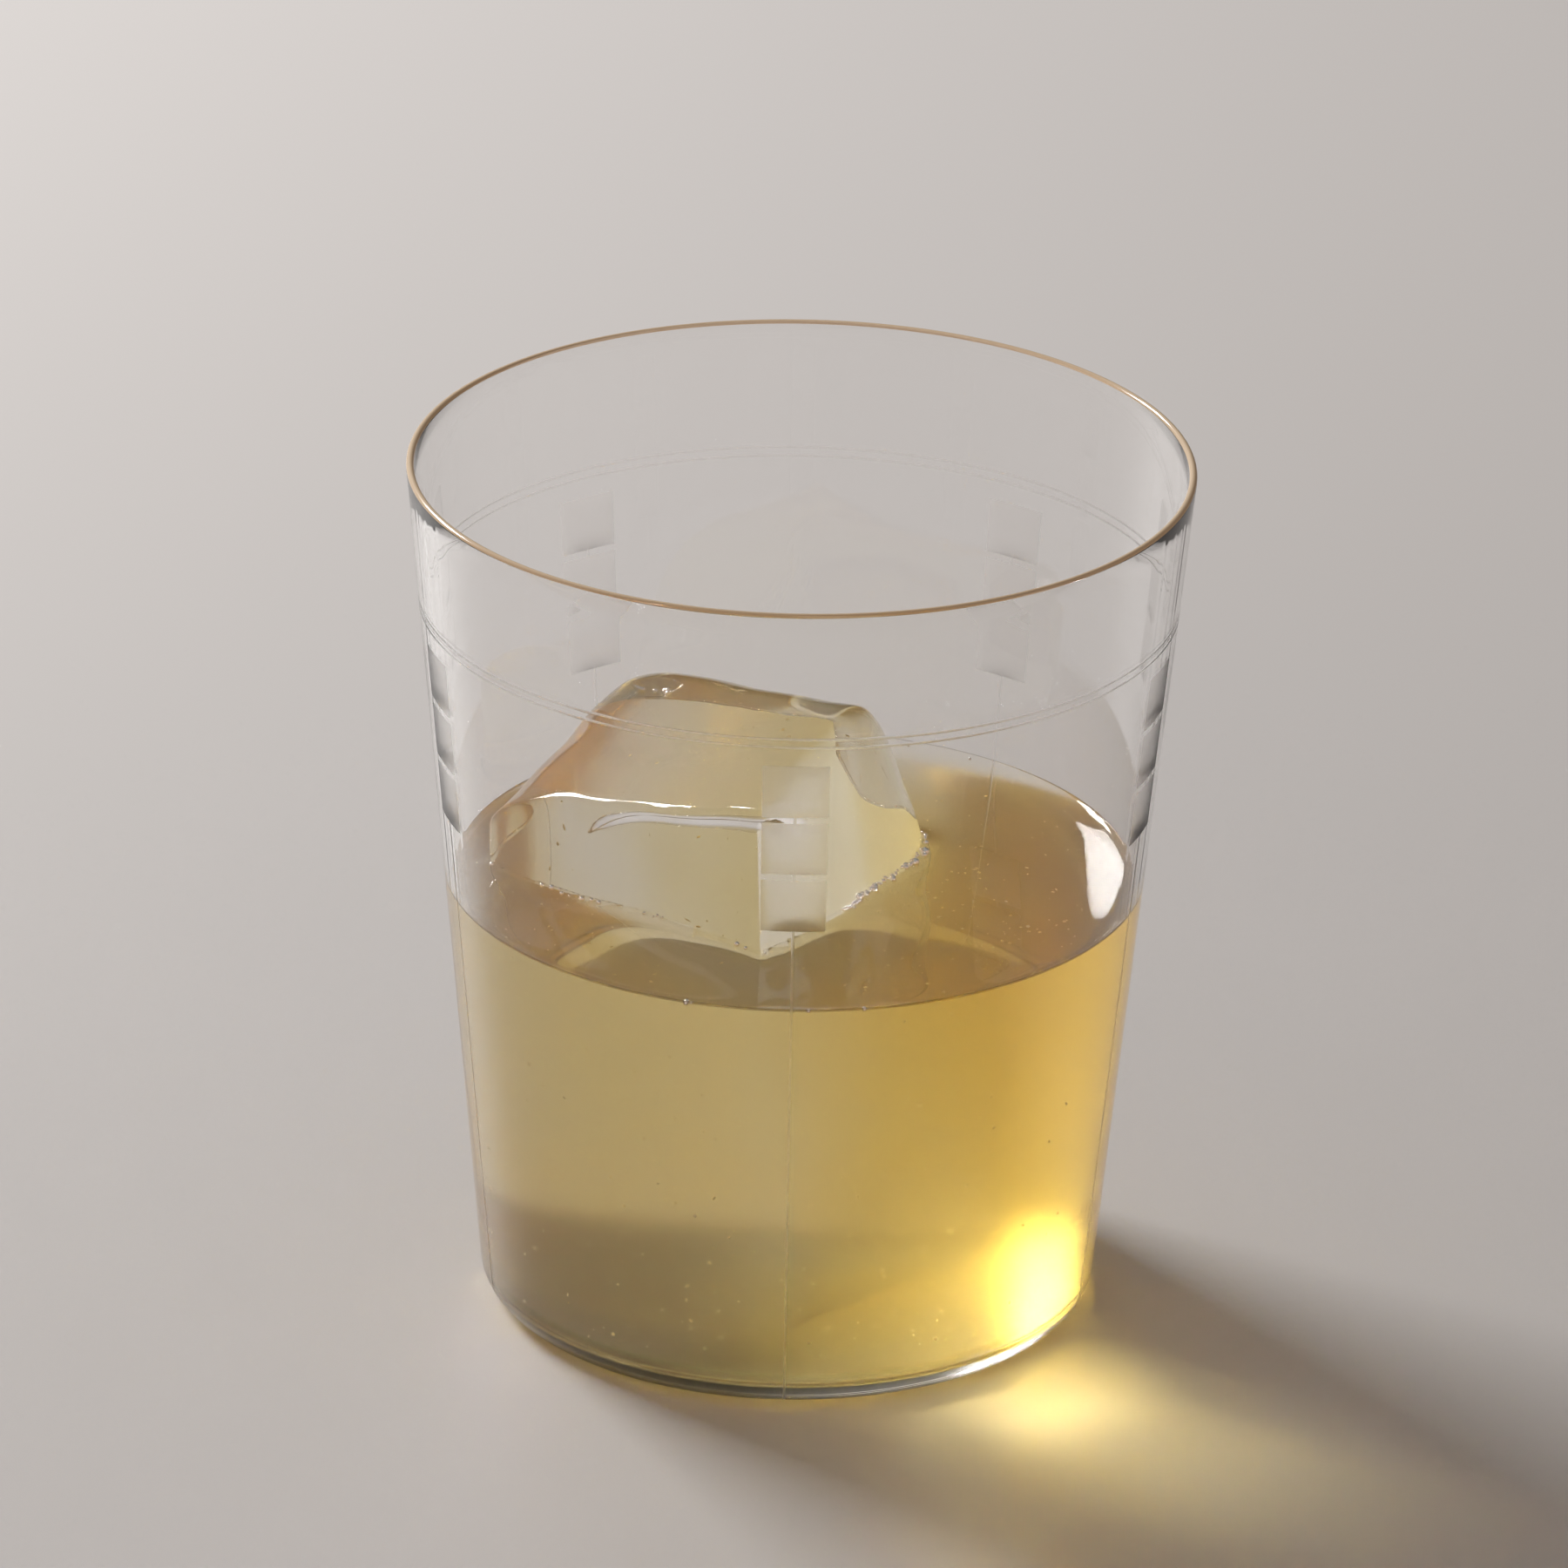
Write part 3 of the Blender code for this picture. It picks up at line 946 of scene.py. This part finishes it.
def raise_surface(mesh, ice_tree):
    """Draws the flat surface up where it meets the wall and the ice."""
    for vert in mesh.vertices:
        if vert.co.z < LEVEL - HAIR:
            continue
        away = max(0.0, inner_radius(LEVEL) - math.hypot(vert.co.x, vert.co.y))
        to_ice = ice_tree.find_nearest(vert.co)[3]
        lift = MENISCUS_HEIGHT * math.exp(-away / MENISCUS_LENGTH)
        lift += ICE_MENISCUS_HEIGHT * math.exp(-to_ice / MENISCUS_LENGTH)
        vert.co.z += lift
        reach = math.hypot(vert.co.x, vert.co.y)
        if away == 0.0:
            # at the wall the edge follows the slope of the glass as it rises
            scale = (reach + inner_radius(LEVEL + lift) - inner_radius(LEVEL)) / reach
            vert.co.x *= scale
            vert.co.y *= scale


def tree_of(mesh):
    return BVHTree.FromPolygons(
        [v.co.copy() for v in mesh.vertices], [tuple(f.vertices) for f in mesh.polygons]
    )


# %% The pocket
POCKET_INSET = 0.08 * MM
SKIN_TOP = LEVEL - 0.05 * MM
SHARP_ANGLE = math.radians(40)


def cut_pocket(target, tool_mesh):
    """Cuts the ice's pocket, and marks its walls 'pocket' and those at the glass 'skin'."""
    tool = link("pocket_tool", tool_mesh)
    for owner in (target.data, tool_mesh):
        owner.materials.append(bpy.data.materials.new("first"))
        owner.materials.append(bpy.data.materials.new("second"))
    tool_mesh.polygons.foreach_set("material_index", [1] * len(tool_mesh.polygons))
    cut = target.modifiers.new("pocket", "BOOLEAN")
    cut.operation = "DIFFERENCE"
    cut.solver = "EXACT"
    cut.object = tool
    depsgraph = bpy.context.evaluated_depsgraph_get()
    mesh = bpy.data.meshes.new_from_object(target.evaluated_get(depsgraph))
    target.modifiers.remove(cut)
    target.data = mesh
    bpy.data.objects.remove(tool)
    marks = [float(face.material_index == 1) for face in mesh.polygons]
    mesh.attributes.new("pocket", "FLOAT", "FACE").data.foreach_set("value", marks)
    skins = [
        float(face.material_index == 0 and face.center.z < SKIN_TOP) for face in mesh.polygons
    ]
    mesh.attributes.new("skin", "FLOAT", "FACE").data.foreach_set("value", skins)
    mesh.polygons.foreach_set("material_index", [0] * len(mesh.polygons))
    mesh.materials.clear()


angles = [math.tau * k / PUNCH_SIDES for k in range(PUNCH_SIDES)]
punch = link("punch_drink", lathe("punch", punch_profile(), angles, LEVEL, BASE - WALL_REACH))
raise_surface(punch.data, tree_of(ice.data))
cut_pocket(punch, ice_mesh("pocket", -POCKET_INSET))
punch.data.shade_smooth()
punch.data.set_sharp_from_angle(angle=SHARP_ANGLE)
print("punch:", len(punch.data.polygons), "faces")

# %% [markdown]
# ## Finish of the punch
# Rum, brandy and lemon make a clear pale gold with a little haze. The colour is in the
# depth and not on the skin: the volume takes away blue, and some green, for every
# millimetre that light travels, so thin places stay pale and long ways turn deep gold.
# Fine haze scatters light on its way, mostly forwards, which makes the drink glow on the
# side turned from the window. Where it touches the glass it is a little rough too,
# which blurs what is seen through it as a cloudy drink does.

# %% Punch material
ABSORPTION = 37.0  # per metre, of what KEPT_COLOUR lacks
KEPT_COLOUR = (0.998, 0.82, 0.0, 1.0)
HAZE = 13.5  # per metre
HAZE_FORWARD = 0.65  # 0 scatters to all sides alike, 1 straight on
HAZE_COLOUR = (1.0, 1.0, 1.0, 1.0)
SKIN_ROUGHNESS = 0.22


def punch_finish():
    made = new_material("gold punch")
    tree = made.node_tree
    normal = waves_in(tree, scale=25.0, strength=0.15, height=0.1 * MM, detail=0.0)
    liquid = clear_shader(tree, (1.0, 1.0, 1.0), PUNCH_IOR, 0.0, normal)
    open_wall = tree.nodes.new("ShaderNodeBsdfTransparent")
    pocket = tree.nodes.new("ShaderNodeAttribute")
    pocket.attribute_name = "pocket"
    skin = tree.nodes.new("ShaderNodeAttribute")
    skin.attribute_name = "skin"
    rough = maths(tree, "MULTIPLY", skin.outputs["Fac"], SKIN_ROUGHNESS)
    tree.links.new(rough, liquid.inputs["Roughness"])
    surface = tree.nodes.new("ShaderNodeMixShader")
    tree.links.new(pocket.outputs["Fac"], surface.inputs[0])
    tree.links.new(liquid.outputs["BSDF"], surface.inputs[1])
    tree.links.new(open_wall.outputs["BSDF"], surface.inputs[2])
    absorb = add_node(tree, "ShaderNodeVolumeAbsorption", Color=KEPT_COLOUR, Density=ABSORPTION)
    haze = add_node(
        tree, "ShaderNodeVolumeScatter", Color=HAZE_COLOUR, Density=HAZE, Anisotropy=HAZE_FORWARD
    )
    both = tree.nodes.new("ShaderNodeAddShader")
    tree.links.new(absorb.outputs[0], both.inputs[0])
    tree.links.new(haze.outputs[0], both.inputs[1])
    output_of(tree, surface.outputs[0], both.outputs[0])
    return made


punch.data.materials.append(punch_finish())
print("punch: index", PUNCH_IOR, "and haze", HAZE, "per metre")

# %% [markdown]
# ## Bubbles and pulp
# Two kinds of small thing tell the eye how big the drink is: bubbles that cling where
# the ice and the wall break its surface, and shreds of lemon that hang in it. Each kind
# starts as a mesh of loose points, laid out by rule and with a fixed seed. One node tree
# then sets a ball on every point, with a random size and turn, squashed where it is flat.

# %% The scattering tree
def random_value(tree, kind, low, high, seed, offset):
    """A random number or vector for each point, from a seed shifted by offset."""
    node = tree.nodes.new("FunctionNodeRandomValue")
    node.data_type = kind
    free = [socket for socket in node.inputs if socket.enabled]
    free[0].default_value, free[1].default_value = low, high
    tree.links.new(maths(tree, "ADD", seed, offset), node.inputs["Seed"])
    return next(socket for socket in node.outputs if socket.enabled)


def grains_tree():
    tree, inputs, output = new_tree(
        "grains",
        (
            ("Geometry", "NodeSocketGeometry", None),
            ("Smallest", "NodeSocketFloat", 0.0002),
            ("Largest", "NodeSocketFloat", 0.0008),
            ("Flatness", "NodeSocketFloat", 1.0),
            ("Detail", "NodeSocketInt", 3),
            ("Seed", "NodeSocketInt", 1),
            ("Finish", "NodeSocketMaterial", None),
        ),
    )
    most = tree.nodes.new("GeometryNodeInputNamedAttribute")
    most.data_type = "FLOAT"
    most.inputs["Name"].default_value = "most"
    draw = random_value(tree, "FLOAT", 0.0, 1.0, inputs["Seed"], 0)
    # a random number that is squared makes many small grains and few big ones
    share = maths(tree, "MULTIPLY", maths(tree, "POWER", draw, 2.0), most.outputs[0])
    span = maths(tree, "SUBTRACT", inputs["Largest"], inputs["Smallest"])
    across = maths(tree, "MULTIPLY_ADD", share, span, inputs["Smallest"])
    scale = tree.nodes.new("ShaderNodeCombineXYZ")
    high = maths(tree, "MULTIPLY", across, inputs["Flatness"])
    for index, value in enumerate((across, across, high)):
        tree.links.new(value, scale.inputs[index])
    turn = random_value(tree, "FLOAT_VECTOR", (0.0, 0.0, 0.0), (math.tau,) * 3, inputs["Seed"], 1)
    ball = tree.nodes.new("GeometryNodeMeshIcoSphere")
    ball.inputs["Radius"].default_value = 0.5
    tree.links.new(inputs["Detail"], ball.inputs["Subdivisions"])
    place = tree.nodes.new("GeometryNodeInstanceOnPoints")
    tree.links.new(inputs["Geometry"], place.inputs["Points"])
    tree.links.new(ball.outputs["Mesh"], place.inputs["Instance"])
    tree.links.new(turn, place.inputs["Rotation"])
    tree.links.new(scale.outputs[0], place.inputs["Scale"])
    last = place.outputs[0]
    for step in ("RealizeInstances", "SetShadeSmooth", "SetMaterial"):
        node = tree.nodes.new("GeometryNode" + step)
        tree.links.new(last, node.inputs["Geometry"])
        last = node.outputs[0]
    tree.links.new(inputs["Finish"], node.inputs["Material"])
    tree.links.new(last, output.inputs[0])
    return tree


def one_finish(mesh):
    """Leaves only the last finish, since each new ball brings an empty slot of its own."""
    finish = mesh.materials[-1]
    mesh.materials.clear()
    mesh.materials.append(finish)
    mesh.polygons.foreach_set("material_index", [0] * len(mesh.polygons))


def loose_points(name, places):
    """An object whose mesh is only points; each place is (point, most), most being 0 to 1."""
    mesh = bpy.data.meshes.new(name)
    mesh.from_pydata([point for point, _ in places], [], [])
    shares = [most for _, most in places]
    mesh.attributes.new("most", "FLOAT", "POINT").data.foreach_set("value", shares)
    return link(name, mesh)


GRAINS = grains_tree()
print("grains:", len(GRAINS.nodes), "nodes")

# %% Bubbles
# round the ice, in degrees from straight towards the viewer: from, to, how many, how big
ICE_BUBBLES = (
    (44, 103, 70, 0.3),
    (48, 100, 16, 1.0),
    (103, 197, 90, 0.3),
    (197, 278, 12, 0.5),
    (278, 372, 16, 0.5),
)
WALL_BUBBLES = (-17.5, -16.6, 2.8, 12.0, 148.0, 160.0)  # the same angles, one bubble each
WALL_BUBBLE_INSET = 0.4 * MM
WALL_BUBBLE_LIFT = 0.7 * MM
BUBBLE_SIZES = (0.3 * MM, 1.25 * MM)
BUBBLE_SEED = 12
BUBBLE_ROUGHNESS = 0.03
OUTSIDE = 60 * MM  # farther from the middle of the ice than any of its sides


def on_circle(degrees, radius, z):
    angle = math.radians(degrees)
    return Vector((math.sin(angle) * radius, -math.cos(angle) * radius, z))


def bubble_places(ice_tree):
    draw = random.Random(BUBBLE_SEED)
    places = []
    middle = Vector((*ICE_MIDDLE, LEVEL))
    for first, last, count, most in ICE_BUBBLES:
        for _ in range(count):
            way = on_circle(draw.uniform(first, last), 1.0, 0.0)
            hit, normal = ice_tree.ray_cast(middle + way * OUTSIDE, -way)[:2]
            away = draw.uniform(0.1, 0.3 + 0.7 * most) * MM
            lift = ICE_MENISCUS_HEIGHT * math.exp(-away / MENISCUS_LENGTH)
            places.append((hit + normal * away + Vector((0.0, 0.0, lift)), most))
    for degrees in WALL_BUBBLES:
        reach = inner_radius(LEVEL) - WALL_BUBBLE_INSET
        spot = on_circle(degrees, reach, LEVEL + WALL_BUBBLE_LIFT)
        places.append((spot, draw.uniform(0.4, 0.7)))
    return places


def bubble_finish():
    """Air in a drink throws most light back, so a tiny bubble looks like a silver bead."""
    made = new_material("bubble")
    shader = add_node(
        made.node_tree, "ShaderNodeBsdfPrincipled", Roughness=BUBBLE_ROUGHNESS, Metallic=1.0
    )
    shader.inputs["Base Color"].default_value = (1.0, 1.0, 1.0, 1.0)
    output_of(made.node_tree, shader.outputs["BSDF"])
    return made


bubbles = loose_points("bubbles", bubble_places(tree_of(ice.data)))
by_nodes(
    bubbles,
    GRAINS,
    Smallest=BUBBLE_SIZES[0],
    Largest=BUBBLE_SIZES[1],
    Flatness=1.0,
    Detail=3,
    Seed=3,
    Finish=bubble_finish(),
)
one_finish(bubbles.data)
print("bubbles:", len(bubbles.data.polygons), "faces")

# %% Pulp
PULP_COUNT = 700
PULP_SIZES = (0.14 * MM, 0.55 * MM)
PULP_FLATNESS = 0.35
PULP_COLOUR = (0.93, 0.86, 0.62)
PULP_CLEARANCE = 0.8 * MM  # from the wall, the floor, the surface and the ice
PULP_SEED = 5


def pulp_places(ice_tree):
    draw = random.Random(PULP_SEED)
    places = []
    while len(places) < PULP_COUNT:
        z = draw.uniform(BASE + PULP_CLEARANCE, LEVEL - PULP_CLEARANCE)
        at_heel = inner_radius(BASE) - INNER_HEEL_RADIUS + (z - BASE)
        reach = min(inner_radius(z), at_heel) - PULP_CLEARANCE
        spot = on_circle(draw.uniform(0.0, 360.0), reach * math.sqrt(draw.random()), z)
        nearest, normal, _, away = ice_tree.find_nearest(spot)
        if away > PULP_CLEARANCE and (spot - nearest).dot(normal) > 0:
            places.append((spot, 1.0))
    return places


def pulp_finish():
    made = new_material("lemon pulp")
    shader = add_node(made.node_tree, "ShaderNodeBsdfPrincipled", Roughness=0.6, IOR=1.35)
    shader.inputs["Base Color"].default_value = (*PULP_COLOUR, 1.0)
    shader.inputs["Metallic"].default_value = 0.0
    shader.inputs["Specular IOR Level"].default_value = 0.0
    shader.inputs["Transmission Weight"].default_value = 0.0
    output_of(made.node_tree, shader.outputs["BSDF"])
    return made


pulp = loose_points("lemon_pulp", pulp_places(tree_of(ice.data)))
by_nodes(
    pulp,
    GRAINS,
    Smallest=PULP_SIZES[0],
    Largest=PULP_SIZES[1],
    Flatness=PULP_FLATNESS,
    Detail=2,
    Seed=8,
    Finish=pulp_finish(),
)
one_finish(pulp.data)
print("pulp:", len(pulp.data.polygons), "faces")

# %% [markdown]
# ## Tie every piece to the frame
# Each piece rides on the root body, and where a piece stands for a plain solid, that solid is hidden.

# %% Ride and replace
for piece, node, slot in (
    (tumbler, "tumbler", "clear_glass"),
    (punch, "punch", "punch"),
    (ice, "ice_block", "clear_ice"),
    (bubbles, None, "punch"),
    (pulp, None, "punch"),
):
    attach(piece, "root")
    if node:
        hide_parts(node)
